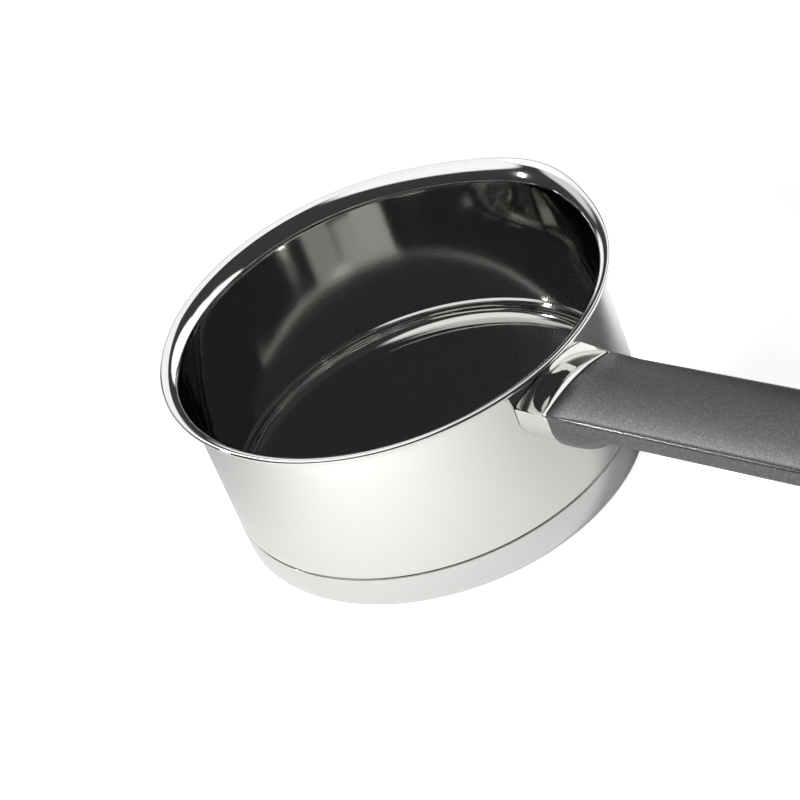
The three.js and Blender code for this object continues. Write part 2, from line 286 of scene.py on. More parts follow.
def revolve(name, profile, segments, sharp_angle, shift=None, centre=(0.0, 0.0)):
    """Turn (radius, height) points round the vertical axis; shift may move each point outwards."""
    vertices = []
    faces = []
    rings = []
    for radius, height in profile:
        if radius < ON_AXIS:
            rings.append([len(vertices)] * segments)
            vertices.append((centre[0], centre[1], height))
            continue
        ring = []
        for i in range(segments):
            angle = 2 * math.pi * i / segments
            reach = radius + (shift(angle, height) if shift else 0.0)
            ring.append(len(vertices))
            x = centre[0] + reach * math.cos(angle)
            y = centre[1] + reach * math.sin(angle)
            vertices.append((x, y, height))
        rings.append(ring)
    closed = profile[0][0] > ON_AXIS
    ahead = rings[1:] + rings[:1] if closed else rings[1:]
    for low, high in zip(rings, ahead):
        for i in range(segments):
            j = (i + 1) % segments
            corners = [low[i], low[j], high[j], high[i]]
            corners = [c for k, c in enumerate(corners) if c != corners[k - 1]]
            if len(corners) > 2:
                faces.append(corners)
    piece = add_object(name, vertices, faces, sharp_angle)
    tidy_normals(piece)
    return piece


def loft(name, rings, sharp_angle, closed_ends=True):
    """A skin over rings of equal count, with a flat face at each end or joined into a closed loop."""
    count = len(rings[0])
    vertices = [point for ring in rings for point in ring]
    faces = []
    for r in range(len(rings) - 1):
        for i in range(count):
            j = (i + 1) % count
            faces.append((r * count + i, r * count + j, (r + 1) * count + j, (r + 1) * count + i))
    last = (len(rings) - 1) * count
    if closed_ends:
        faces.append(tuple(reversed(range(count))))
        faces.append(tuple(range(last, last + count)))
    else:
        for i in range(count):
            j = (i + 1) % count
            faces.append((last + i, last + j, j, i))
    piece = add_object(name, vertices, faces, sharp_angle)
    tidy_normals(piece)
    return piece


def arc(centre_x, centre_y, radius, start, end, steps):
    """Points on an arc, from the start angle to the end angle."""
    points = []
    for i in range(steps + 1):
        angle = mix(start, end, i / steps)
        points.append((centre_x + radius * math.cos(angle), centre_y + radius * math.sin(angle)))
    return points


def offset_path(path, reaches):
    """A path moved to its right by the reach of each point."""
    moved = []
    for i, (x, y) in enumerate(path):
        before = Vector(path[max(i - 1, 0)])
        after = Vector(path[min(i + 1, len(path) - 1)])
        here = Vector((x, y))
        into = (here - before).normalized() if i else (after - here).normalized()
        out = (after - here).normalized() if i < len(path) - 1 else into
        along = (into + out).normalized()
        reach = reaches[i] / along.dot(into)
        moved.append((x + along.y * reach, y - along.x * reach))
    return moved


def apply_boolean(piece, cutter):
    """Cut a piece with a cutter, which is then deleted."""
    cut = piece.modifiers.new("cut", "BOOLEAN")
    cut.operation = "DIFFERENCE"
    cut.solver = "EXACT"
    cut.object = cutter
    evaluated = piece.evaluated_get(bpy.context.evaluated_depsgraph_get())
    mesh = bpy.data.meshes.new_from_object(evaluated)
    piece.modifiers.clear()
    piece.data = mesh
    bpy.data.objects.remove(cutter)


# Vessel

def vessel_path():
    """The middle of the vessel's sheet, from the floor's centre to the rim's edge."""
    floor_middle = FLOOR_UNDER + VESSEL_SHEET / 2
    path = [(0.0, floor_middle)]
    corner_x = NECK_MIDDLE - FLOOR_CORNER
    corner_z = floor_middle + FLOOR_CORNER
    path += [(corner_x - FLOOR_RING_STEP * i, floor_middle) for i in range(FLOOR_RINGS, 0, -1)]
    path += arc(corner_x, corner_z, FLOOR_CORNER, -math.pi / 2, 0, CORNER_STEPS)
    wall_start = CAP_HEIGHT + GROOVE_WIDTH
    path.append((NECK_MIDDLE, CAP_HEIGHT - NECK_SHORT))
    slope_steps = 8
    for i in range(slope_steps + 1):
        share = i / slope_steps
        radius = mix(NECK_MIDDLE, WALL_MIDDLE, smooth(share, 0, 1))
        path.append((radius, mix(CAP_HEIGHT, wall_start, share)))
    wall_rows = 20
    for i in range(1, wall_rows):
        path.append((WALL_MIDDLE, mix(wall_start, FLARE_START, i / wall_rows)))
    across = (BODY_RADIUS + FLARE_REACH - RIM_EDGE / 2 - WALL_MIDDLE) / (1 - math.cos(FLARE_TURN))
    rise = (POT_HEIGHT - RIM_EDGE / 2 - FLARE_START) / math.sin(FLARE_TURN)
    flare_steps = 24
    for i in range(flare_steps + 1):
        turn = FLARE_TURN * i / flare_steps
        radius = WALL_MIDDLE + across * (1 - math.cos(turn))
        path.append((radius, FLARE_START + rise * math.sin(turn)))
    return path


def lip_bulge(bearing, height):
    """How far the pouring lip carries the sheet outwards at a bearing and height."""
    off_centre = math.remainder(bearing - LIP_BEARING, 2 * math.pi)
    across = math.exp(-math.log(2) * (off_centre / LIP_HALF_ANGLE) ** 2)
    return LIP_REACH * across * smooth(height, POT_HEIGHT - LIP_DEPTH, POT_HEIGHT)


def cut_groove(outside):
    """The outside with a square shoulder over the base's groove, in place of the sheet's slope."""
    neck = NECK_MIDDLE + VESSEL_SHEET / 2
    shoulder = CAP_HEIGHT + GROOVE_WIDTH
    edge = GROOVE_EDGE
    below = [point for point in outside if point[1] < CAP_HEIGHT - GROOVE_WIDTH]
    above = [point for point in outside if point[1] > shoulder + GROOVE_WIDTH]
    groove = arc(neck + edge, shoulder - edge, edge, math.pi, math.pi / 2, steps=4)
    groove += arc(BODY_RADIUS - edge, shoulder + edge, edge, -math.pi / 2, 0, steps=4)
    return below + [(neck, CAP_HEIGHT - GROOVE_WIDTH)] + groove + above


def half_sheets(path):
    """Half the sheet's thickness at each point of a path, which swells towards the rim's edge."""
    swell = FLARE_START + FLARE_RISE / 2
    top = POT_HEIGHT - RIM_EDGE / 2
    return [mix(VESSEL_SHEET, RIM_EDGE, smooth(height, swell, top)) / 2 for _, height in path]


def make_vessel(outside_steel, inside_steel):
    """The drawn vessel in one sheet with wall, flare and lip, a finish for each side, and painted
    shade low inside.
    """
    path = vessel_path()
    halves = half_sheets(path)
    outside = cut_groove(offset_path(path, halves))
    inside = offset_path(path, [-half for half in halves])
    edge_x, edge_y = path[-1]
    edge_angle = math.atan2(outside[-1][1] - edge_y, outside[-1][0] - edge_x)
    rim = arc(edge_x, edge_y, RIM_EDGE / 2, edge_angle, edge_angle + math.pi, steps=24)[1:-1]
    profile = outside + rim + inside[::-1]
    profile = [(max(r, 0.0), z) for r, z in profile]
    vessel = revolve("vessel", profile, VESSEL_SEGMENTS, SHARP_ANGLE, lip_bulge)
    vessel.data.materials.append(outside_steel)
    vessel.data.materials.append(inside_steel)
    facing_in = -0.02 * BODY_RADIUS
    facing_up = 0.5
    for face in vessel.data.polygons:
        centre = face.center / MM
        on_inner_wall = face.normal.x * centre.x + face.normal.y * centre.y < facing_in
        on_floor = face.normal.z > facing_up and centre.z < POT_HEIGHT / 2
        if on_inner_wall or on_floor:
            face.material_index = 1
    return vessel


def outer_radius_at(height):
    """The vessel's outside radius at a height on the wall or the flare."""
    path = vessel_path()
    outside = offset_path(path, half_sheets(path))
    above = [point for point in outside if point[1] >= height and point[0] > NECK_MIDDLE]
    below = [point for point in outside if point[1] < height]
    if not above:
        return outside[-1][0]
    (r0, z0), (r1, z1) = below[-1], above[0]
    return mix(r0, r1, (height - z0) / (z1 - z0))


def make_base_cap(band_steel, under_steel):
    """The steel capsule under the vessel, with a turned finish on its underside."""
    inner = BODY_RADIUS - CAP_SHEET
    edge = CAP_EDGE_RADIUS
    lip = CAP_LIP_RADIUS
    profile = [(0.0, 0.0)]
    profile += [(BODY_RADIUS - edge - CAP_RING_STEP * i, 0.0) for i in range(CAP_RINGS, 0, -1)]
    profile += arc(BODY_RADIUS - edge, edge, edge, -math.pi / 2, 0, CORNER_STEPS)
    profile += arc(BODY_RADIUS - lip, CAP_HEIGHT - lip, lip, 0, math.pi / 2, steps=5)
    profile += arc(inner + lip, CAP_HEIGHT - lip, lip, math.pi / 2, math.pi, steps=5)
    profile += arc(BODY_RADIUS - edge, edge, edge - CAP_SHEET, 0, -math.pi / 2, steps=8)
    profile.append((0.0, CAP_SHEET))
    cap = revolve("base_shell", profile, CAP_SEGMENTS, SHARP_ANGLE)
    cap.data.materials.append(band_steel)
    cap.data.materials.append(under_steel)
    facing_down = -0.99
    for face in cap.data.polygons:
        if face.normal.z < facing_down:
            face.material_index = 1
    return cap


# Handle

def handle_ring(x, top, half_width, crown, side, belly, edge):
    """One cross-section of the handle: crowned top rolled over to flat sides, half-elliptic belly."""
    flat = half_width - edge
    roll_y = half_width - EDGE_ROLL * edge
    roll_z = top + crown * (1 - (roll_y / flat) ** 2)
    corner_z = roll_z - 2 * crown * roll_y / flat ** 2 * EDGE_ROLL * edge
    side_z = corner_z - EDGE_FALL * edge
    roll_steps = 8
    crown_steps = 28
    side_steps = 4
    belly_steps = 44
    roll = []
    for i in range(roll_steps):
        share = i / roll_steps
        y = mix(half_width, mix(half_width, roll_y, share), share)
        z = mix(mix(side_z, corner_z, share), mix(corner_z, roll_z, share), share)
        roll.append((y, z))
    points = list(roll)
    for i in range(crown_steps + 1):
        y = roll_y * (1 - 2 * i / crown_steps)
        points.append((y, top + crown * (1 - (y / flat) ** 2)))
    points += [(-y, z) for y, z in reversed(roll)]
    for i in range(1, side_steps):
        points.append((-half_width, mix(side_z, top - side, i / side_steps)))
    for i in range(belly_steps + 1):
        angle = math.pi * (1 + i / belly_steps)
        points.append((half_width * math.cos(angle), top - side + belly * math.sin(angle)))
    for i in range(1, side_steps):
        points.append((half_width, mix(top - side, side_z, i / side_steps)))
    return [(x, y, z) for y, z in points]


def collar_ring(share, inset, drop=0.0):
    """The collar's section at a share of the way from the wall to the seam, bent to the wall."""
    crown = mix(COLLAR_FOOT_CROWN, GRIP_CROWN, share)
    flat_ring = handle_ring(
        0.0,
        EDGE_Z - inset - drop,
        mix(COLLAR_FOOT_HALF_WIDTH, HANDLE_HALF_WIDTH, share) - inset,
        crown,
        SIDE_BAND - inset - drop,
        mix(COLLAR_FOOT_BELLY, COLLAR_SEAM_BELLY, share) - inset,
        COLLAR_EDGE,
    )
    ring = []
    for _, y, z in flat_ring:
        reach = outer_radius_at(z) + SEAT_GAP
        wall_x = math.sqrt(reach * reach - y * y)
        ring.append((mix(wall_x, SEAM_X, share), y, z))
    return ring


def make_collar():
    """The sleeve between the wall and the grip, rolled in at the seam and hollow inside."""
    steps = 14
    roll_steps = 8
    roll_share = COLLAR_ROLL / COLLAR_LENGTH
    rings = [collar_ring(i / steps * (1 - roll_share), 0.0) for i in range(steps)]
    for i in range(roll_steps + 1):
        angle = math.pi / 2 * i / roll_steps
        share = 1 - roll_share * (1 - math.sin(angle))
        turned_in = 1 - math.cos(angle)
        rings.append(collar_ring(share, COLLAR_ROLL_IN * turned_in, COLLAR_ROLL_DROP * turned_in))
    rings += [collar_ring(i / steps, COLLAR_SHEET) for i in range(steps, -1, -1)]
    return loft("collar", rings, SHARP_ANGLE, closed_ends=False)


def belly_at(x):
    """The depth of the grip's belly at a place along it."""
    hold_x = SEAM_X + BELLY_HOLD
    run = clamp((x - hold_x) / (BELLY_LENGTH - BELLY_HOLD))
    return GRIP_UNDERSIDE + (GRIP_BELLY - GRIP_UNDERSIDE) * math.sqrt(1 - run * run)


def grip_half_width(x):
    into_end = clamp((x - GRIP_END_X) / END_CORNER + 1)
    return HANDLE_HALF_WIDTH - END_CORNER * (1 - math.sqrt(1 - into_end * into_end))


def grip_edge(x):
    """The radius of the top edges, sharp at the collar and soft along the bar."""
    softness = smooth(x, SEAM_X + GRIP_EDGE_START, SEAM_X + GRIP_EDGE_FULL)
    return mix(GRIP_EDGE_AT_SEAM, GRIP_EDGE_ALONG, softness)


def grip_top(x, y):
    across = y / (grip_half_width(x) - grip_edge(x))
    return EDGE_Z + GRIP_RISE * (x - SEAM_X) + GRIP_CROWN * (1 - across * across)


def grip_bottom(x, y):
    across = y / grip_half_width(x)
    under_side = EDGE_Z + GRIP_RISE * (x - SEAM_X) - SIDE_BAND
    return under_side - belly_at(x) * math.sqrt(1 - across * across)


def grip_ring(x, inset):
    return handle_ring(
        x,
        EDGE_Z + GRIP_RISE * (x - SEAM_X) - inset,
        grip_half_width(x) - inset,
        GRIP_CROWN,
        SIDE_BAND - 2 * inset,
        max(belly_at(x) - inset, BELLY_THINNEST),
        grip_edge(x),
    )


def easing(start, end, steps):
    """Places between two points that close up towards the end, without the end itself."""
    return [mix(start, end, math.sin(math.pi / 2 * i / steps)) for i in range(steps)]


def grip_stations():
    """The places along the grip at which its cross-sections are taken."""
    start = SEAM_X + SEAT_GAP
    hold_x = SEAM_X + BELLY_HOLD
    belly_end = SEAM_X + BELLY_LENGTH
    corner_start = GRIP_END_X - END_CORNER
    corner_end = GRIP_END_X - END_ROUND
    hold_steps = 8
    bar_steps = 40
    stations = [mix(start, hold_x, i / hold_steps) for i in range(hold_steps)]
    stations += easing(hold_x, belly_end, steps=30)
    stations += [mix(belly_end, corner_start, i / bar_steps) for i in range(bar_steps)]
    stations += easing(corner_start, corner_end, steps=20)
    stations.append(corner_end)
    return stations


def at_height(height):
    return lambda x, y: height


def rounded_mouth(surface, outwards, radius, beyond):
    """How a hole opens out over a rounded edge to a surface: outline offsets and heights."""
    levels = []
    steps = 6
    last_angle = math.radians(80)
    for i in range(steps + 1):
        angle = last_angle * i / steps
        opening = radius * (1 - math.cos(angle))
        depth = outwards * radius * (1 - math.sin(angle))
        levels.append((opening, lambda x, y, depth=depth: surface(x, y) - depth))
    levels.append((opening, at_height(beyond)))
    return levels


def hole_cutter(name, outline, levels):
    """A cutter with an outline at each level, where a level is an outline offset and a height."""
    rings = []
    for offset, height in levels:
        rings.append([(x, y, height(x, y)) for x, y in outline(offset)])
    return loft(name, rings, CUTTER_SHARP_ANGLE)


def slot_outline(offset):
    centre_x = GRIP_END_X - SLOT_FROM_END - SLOT_LENGTH / 2
    half = SLOT_LENGTH / 2 - SLOT_WIDTH / 2
    radius = SLOT_WIDTH / 2 + offset
    outline = arc(centre_x + half, 0, radius, -math.pi / 2, math.pi / 2, steps=20)
    return outline + arc(centre_x - half, 0, radius, math.pi / 2, math.pi * 1.5, steps=20)


def recess_outline(offset):
    radius = SCREW_HEAD_DIAMETER / 2 + SLIP_FIT + offset
    return arc(SCREW_X, 0, radius, 0, 2 * math.pi, steps=48)[:-1]


def bore_outline(offset):
    radius = SCREW_DIAMETER / 2 + SLIP_FIT + offset
    return arc(SCREW_X, 0, radius, 0, 2 * math.pi, steps=32)[:-1]


def pocket_outline(offset):
    half = TANG_WIDTH / 2 + SLIP_FIT + offset
    end = SCREW_X + TANG_PAST_SCREW + SLIP_FIT + offset
    return [(SEAM_X - END_ROUND, -half), (end, -half), (end, half), (SEAM_X - END_ROUND, half)]


def make_grip():
    """The moulded grip, with its hanging slot, screw recess and bore, and the pocket for the tang."""
    rings = [grip_ring(x, 0.0) for x in grip_stations()]
    end_steps = 6
    for i in range(1, end_steps + 1):
        angle = math.pi / 2 * i / end_steps
        x = GRIP_END_X - END_ROUND + END_ROUND * math.sin(angle)
        rings.append(grip_ring(x, END_ROUND * (1 - math.cos(angle))))
    grip = loft("grip", rings, SHARP_ANGLE)

    below = BELLY_UNDER_SCREW - GRIP_BELLY
    above = POT_HEIGHT + GRIP_BELLY
    slot = rounded_mouth(grip_bottom, -1, SLOT_EDGE, below)[::-1]
    slot += rounded_mouth(grip_top, 1, SLOT_EDGE, above)
    apply_boolean(grip, hole_cutter("slot_cutter", slot_outline, slot))
    recess = rounded_mouth(grip_bottom, -1, RECESS_EDGE, below)[::-1]
    recess.append((0.0, at_height(SCREW_SEAT_Z)))
    apply_boolean(grip, hole_cutter("recess_cutter", recess_outline, recess))
    bore = [(0.0, at_height(SCREW_HEAD_TOP)), (0.0, at_height(TANG_TOP))]
    apply_boolean(grip, hole_cutter("bore_cutter", bore_outline, bore))
    pocket = [(0.0, at_height(TANG_BOTTOM - SLIP_FIT)), (0.0, at_height(NUT_TOP + SLIP_FIT))]
    apply_boolean(grip, hole_cutter("pocket_cutter", pocket_outline, pocket))
    shade(grip.data, SHARP_ANGLE)
    return grip


def make_screw():
    """A pan-head screw with a cross recess and a threaded end."""
    head = SCREW_HEAD_DIAMETER / 2
    edge = SCREW_HEAD_HEIGHT / 2
    shank = SCREW_DIAMETER / 2
    profile = [(0.0, SCREW_HEAD_BOTTOM)]
    profile += arc(head - edge, SCREW_HEAD_BOTTOM + edge, edge, -math.pi / 2, 0, steps=10)
    profile += [(head, SCREW_HEAD_TOP), (shank, SCREW_HEAD_TOP)]
    turns = int((NUT_TOP - SCREW_SEAT_Z) / SCREW_PITCH)
    for i in range(turns):
        foot = NUT_TOP - (turns - i) * SCREW_PITCH
        profile += [(shank, foot), (shank - THREAD_DEPTH, foot + SCREW_PITCH / 2)]
    profile += [(shank - THREAD_DEPTH, NUT_TOP), (0.0, NUT_TOP)]
    screw = revolve("screw", profile, SCREW_SEGMENTS, SCREW_SHARP_ANGLE, centre=(SCREW_X, 0.0))
    for turn in (0.0, math.pi / 2):
        rings = []
        for long, wide, height in SCREW_CROSS:
            ring = []
            for x, y in ((-long, -wide), (long, -wide), (long, wide), (-long, wide)):
                across = x * math.cos(turn) - y * math.sin(turn)
                along = x * math.sin(turn) + y * math.cos(turn)
                ring.append((SCREW_X + across, along, SCREW_HEAD_BOTTOM + height))
            rings.append(ring)
        apply_boolean(screw, loft("cross_cutter", rings, CUTTER_SHARP_ANGLE))
    shade(screw.data, SCREW_SHARP_ANGLE)
    return screw


# Materials

def new_material(name):
    material = bpy.data.materials.new(name)
    material.use_nodes = True
    return material, material.node_tree.nodes, material.node_tree.links


def metal(name, colour, roughness, line_squeeze, line_depth, painted_shade_colour=None, turned=False):
    """Metal with a little haze and fine polishing lines, and if asked a painted shade below the rim.
    """
    material, nodes, links = new_material(name)
    shader = nodes["Principled BSDF"]
    shader.inputs["Metallic"].default_value = 1.0
    where = nodes.new("ShaderNodeTexCoord")

    haze = nodes.new("ShaderNodeTexNoise")
    haze.inputs["Scale"].default_value = HAZE_SCALE
    haze.inputs["Detail"].default_value = 3.0
    links.new(where.outputs["Object"], haze.inputs["Vector"])

    tint = nodes.new("ShaderNodeMix")
    tint.data_type = "RGBA"
    tint.inputs["A"].default_value = (*colour, 1)
    tint.inputs["B"].default_value = (*[c * HAZE_DARKER for c in colour], 1)
    links.new(haze.outputs["Fac"], tint.inputs["Factor"])
    split = nodes.new("ShaderNodeSeparateXYZ")
    links.new(where.outputs["Object"], split.inputs["Vector"])
    # Painted shade: below the flare's foot the colour goes over to the given darker tone
    if painted_shade_colour:
        height = nodes.new("ShaderNodeMapRange")
        height.interpolation_type = "SMOOTHSTEP"
        height.inputs["From Min"].default_value = (FLARE_START - PAINTED_SHADE_BELOW) * MM
        height.inputs["From Max"].default_value = (FLARE_START + PAINTED_SHADE_ABOVE) * MM
        links.new(split.outputs["Z"], height.inputs["Value"])
        depth = nodes.new("ShaderNodeMix")
        depth.data_type = "RGBA"
        depth.inputs["A"].default_value = (*painted_shade_colour, 1)
        links.new(height.outputs["Result"], depth.inputs["Factor"])
        links.new(tint.outputs["Result"], depth.inputs["B"])
        links.new(depth.outputs["Result"], shader.inputs["Base Color"])
    else:
        links.new(tint.outputs["Result"], shader.inputs["Base Color"])

    shine = nodes.new("ShaderNodeMapRange")
    shine.inputs["To Min"].default_value = roughness * HAZE_SMOOTHER
    shine.inputs["To Max"].default_value = roughness * HAZE_ROUGHER
    links.new(haze.outputs["Fac"], shine.inputs["Value"])
    links.new(shine.outputs["Result"], shader.inputs["Roughness"])

    stretch = nodes.new("ShaderNodeMapping")
    stretch.inputs["Scale"].default_value = (1.0, 1.0, line_squeeze)
    if turned:
        round_axis = nodes.new("ShaderNodeVectorMath")
        round_axis.operation = "MULTIPLY"
        round_axis.inputs[1].default_value = (1.0, 1.0, 0.0)
        links.new(where.outputs["Object"], round_axis.inputs[0])
        radius = nodes.new("ShaderNodeVectorMath")
        radius.operation = "LENGTH"
        links.new(round_axis.outputs["Vector"], radius.inputs[0])
        along = nodes.new("ShaderNodeMath")
        links.new(radius.outputs["Value"], along.inputs[0])
        links.new(split.outputs["Z"], along.inputs[1])
        rings = nodes.new("ShaderNodeCombineXYZ")
        links.new(split.outputs["X"], rings.inputs["X"])
        links.new(split.outputs["Y"], rings.inputs["Y"])
        links.new(along.outputs[0], rings.inputs["Z"])
        links.new(rings.outputs["Vector"], stretch.inputs["Vector"])
    else:
        links.new(where.outputs["Object"], stretch.inputs["Vector"])
    lines = nodes.new("ShaderNodeTexNoise")
    lines.inputs["Scale"].default_value = LINE_SCALE
    lines.inputs["Detail"].default_value = 2.0
    links.new(stretch.outputs["Vector"], lines.inputs["Vector"])
    bump = nodes.new("ShaderNodeBump")
    bump.inputs["Strength"].default_value = line_depth
    bump.inputs["Distance"].default_value = LINE_HEIGHT
    links.new(lines.outputs["Fac"], bump.inputs["Height"])
    links.new(bump.outputs["Normal"], shader.inputs["Normal"])
    return material


def make_metals():
    """Every metal finish on the pan, by a short name."""
    polished = {"line_squeeze": 60.0, "line_depth": 0.02, "turned": True}
    return {
        "mirror": metal("mirror_steel", (0.84, 0.832, 0.81), roughness=0.05, **polished),
        "inner": metal(
            "inner_steel_painted_shade",
            (0.8, 0.795, 0.78),
            roughness=0.07,
            # painted shade: the inside darker below the flare's foot
            painted_shade_colour=(0.6, 0.595, 0.58),
            **polished,
        ),
        "base": metal("base_steel", (0.79, 0.782, 0.766), roughness=0.07, **polished),
        "under": metal(
            "turned_steel",
            (0.7, 0.695, 0.68),
            roughness=0.22,
            line_squeeze=60.0,
            line_depth=0.25,
            turned=True,
        ),
        "collar": metal(
            "collar_chrome",
            (0.78, 0.775, 0.76),
            roughness=0.05,
            line_squeeze=20.0,
            line_depth=0.01,
        ),
        "zinc": metal(
            "zinc_plate",
            (0.7, 0.69, 0.67),
            roughness=0.28,
            line_squeeze=20.0,
            line_depth=0.08,
        ),
        "dull": metal(
            "dull_steel",
            (0.62, 0.62, 0.6),
            roughness=0.3,
            line_squeeze=10.0,
            line_depth=0.1,
        ),
        "alloy": metal(
            "core_alloy",
            (0.7, 0.71, 0.72),
            roughness=0.4,
            line_squeeze=40.0,
            line_depth=0.1,
        ),
    }


def grip_material():
    """Satin grey moulding with fine bright flake."""
    material, nodes, links = new_material("grip_grey")
    shader = nodes["Principled BSDF"]
    where = nodes.new("ShaderNodeTexCoord")

    flake = nodes.new("ShaderNodeTexVoronoi")
    flake.inputs["Scale"].default_value = FLAKE_SCALE
    links.new(where.outputs["Object"], flake.inputs["Vector"])
    bright = nodes.new("ShaderNodeMapRange")
    bright.inputs["From Min"].default_value = FLAKE_FROM
    bright.inputs["From Max"].default_value = 1.0
    links.new(flake.outputs["Color"], bright.inputs["Value"])

    grain = nodes.new("ShaderNodeTexNoise")
    grain.inputs["Scale"].default_value = GRAIN_SCALE
    grain.inputs["Detail"].default_value = 3.0
    links.new(where.outputs["Object"], grain.inputs["Vector"])

    ground = nodes.new("ShaderNodeMix")
    ground.data_type = "RGBA"
    ground.inputs["A"].default_value = GRIP_DARK
    ground.inputs["B"].default_value = GRIP_LIGHT
    links.new(grain.outputs["Fac"], ground.inputs["Factor"])
    sparkle = nodes.new("ShaderNodeMix")
    sparkle.data_type = "RGBA"
    sparkle.inputs["B"].default_value = FLAKE_COLOUR
    links.new(bright.outputs["Result"], sparkle.inputs["Factor"])
    links.new(ground.outputs["Result"], sparkle.inputs["A"])
    links.new(sparkle.outputs["Result"], shader.inputs["Base Color"])

    shine = nodes.new("ShaderNodeMapRange")
    shine.inputs["To Min"].default_value = GRIP_ROUGHNESS[0]
    shine.inputs["To Max"].default_value = GRIP_ROUGHNESS[1]
    links.new(grain.outputs["Fac"], shine.inputs["Value"])
    links.new(shine.outputs["Result"], shader.inputs["Roughness"])
    shader.inputs["Metallic"].default_value = GRIP_METALLIC

    bump = nodes.new("ShaderNodeBump")
    bump.inputs["Strength"].default_value = GRAIN_STRENGTH
    bump.inputs["Distance"].default_value = GRAIN_HEIGHT
    links.new(grain.outputs["Fac"], bump.inputs["Height"])
    links.new(bump.outputs["Normal"], shader.inputs["Normal"])
    return material


# Stage

def mirror_ray(nodes, links, path):
    """One for rays from a mirror or through clear material that no matt surface has scattered."""
    either = nodes.new("ShaderNodeMath")
    either.operation = "MAXIMUM"
    links.new(path.outputs["Is Glossy Ray"], either.inputs[0])
    links.new(path.outputs["Is Transmission Ray"], either.inputs[1])
    straight = nodes.new("ShaderNodeMath")
    straight.operation = "LESS_THAN"
    straight.inputs[1].default_value = 0.5
    links.new(path.outputs["Diffuse Depth"], straight.inputs[0])
    return times(nodes, links, either.outputs[0], straight.outputs[0])


def times(nodes, links, first, second):
    """The product of two levels."""
    product = nodes.new("ShaderNodeMath")
    product.operation = "MULTIPLY"
    links.new(first, product.inputs[0])
    links.new(second, product.inputs[1])
    return product.outputs[0]


def rising(nodes, links, distance, glow):
    """A level that rises with distance, from a glow's four values."""
    near_level, far_level, near, far = glow
    rise = nodes.new("ShaderNodeMapRange")
    rise.interpolation_type = "SMOOTHSTEP"
    rise.inputs["From Min"].default_value = near
    rise.inputs["From Max"].default_value = far
    rise.inputs["To Min"].default_value = near_level
    rise.inputs["To Max"].default_value = far_level
    links.new(distance.outputs["Value"], rise.inputs["Value"])
    return rise.outputs["Result"]


def zone(nodes, links, towards, heading, lift, full, none, outside, inside):
    """A level that goes from outside to inside as a direction nears a heading and lift in degrees."""
    around = math.radians(heading)
    above = math.radians(lift)
    level_part = math.cos(above)
    way = (level_part * math.cos(around), level_part * math.sin(around), math.sin(above))
    along = nodes.new("ShaderNodeVectorMath")
    along.operation = "DOT_PRODUCT"
    along.inputs[1].default_value = way
    links.new(towards, along.inputs[0])
    level = nodes.new("ShaderNodeMapRange")
    level.interpolation_type = "SMOOTHSTEP"
    level.inputs["From Min"].default_value = math.cos(math.radians(none))
    level.inputs["From Max"].default_value = math.cos(math.radians(full))
    level.inputs["To Min"].default_value = outside
    level.inputs["To Max"].default_value = inside
    links.new(along.outputs["Value"], level.inputs["Value"])
    return level.outputs["Result"]


def make_floor():
    """A matt white floor that takes shadows, and glows to the camera and metal, most further off."""
    size = FLOOR_HALF_SIZE
    signs = ((-1, -1), (1, -1), (1, 1), (-1, 1))
    corners = [(x * size, y * size, -FLOOR_DROP) for x, y in signs]
    floor = add_object("floor", corners, [(0, 1, 2, 3)], SHARP_ANGLE)
    material, nodes, links = new_material("floor_white")
    output = nodes["Material Output"]
    nodes.remove(nodes["Principled BSDF"])
    matt = nodes.new("ShaderNodeBsdfDiffuse")
    matt.inputs["Color"].default_value = FLOOR_MATT

    where = nodes.new("ShaderNodeTexCoord")
    away = nodes.new("ShaderNodeVectorMath")
    away.operation = "LENGTH"
    links.new(where.outputs["Object"], away.inputs[0])
    path = nodes.new("ShaderNodeLightPath")
    shown_glow = rising(nodes, links, away, SHOWN_GLOW)
    shown = times(nodes, links, path.outputs["Is Camera Ray"], shown_glow)
    mirrored_glow = rising(nodes, links, away, MIRRORED_GLOW)
    mirrored = times(nodes, links, mirror_ray(nodes, links, path), mirrored_glow)
    side = nodes.new("ShaderNodeVectorMath")
    side.operation = "NORMALIZE"
    links.new(where.outputs["Object"], side.inputs[0])
    for heading, full, none, outside, inside in FLOOR_SHARES:
        share = zone(nodes, links, side.outputs["Vector"], heading, 0, full, none, outside, inside)
        mirrored = times(nodes, links, mirrored, share)
    level = nodes.new("ShaderNodeMath")
    links.new(shown, level.inputs[0])
    links.new(mirrored, level.inputs[1])
    glow = nodes.new("ShaderNodeEmission")
    links.new(level.outputs[0], glow.inputs["Strength"])

    both = nodes.new("ShaderNodeAddShader")
    links.new(matt.outputs[0], both.inputs[0])
    links.new(glow.outputs[0], both.inputs[1])
    links.new(both.outputs[0], output.inputs["Surface"])
    floor.data.materials.append(material)


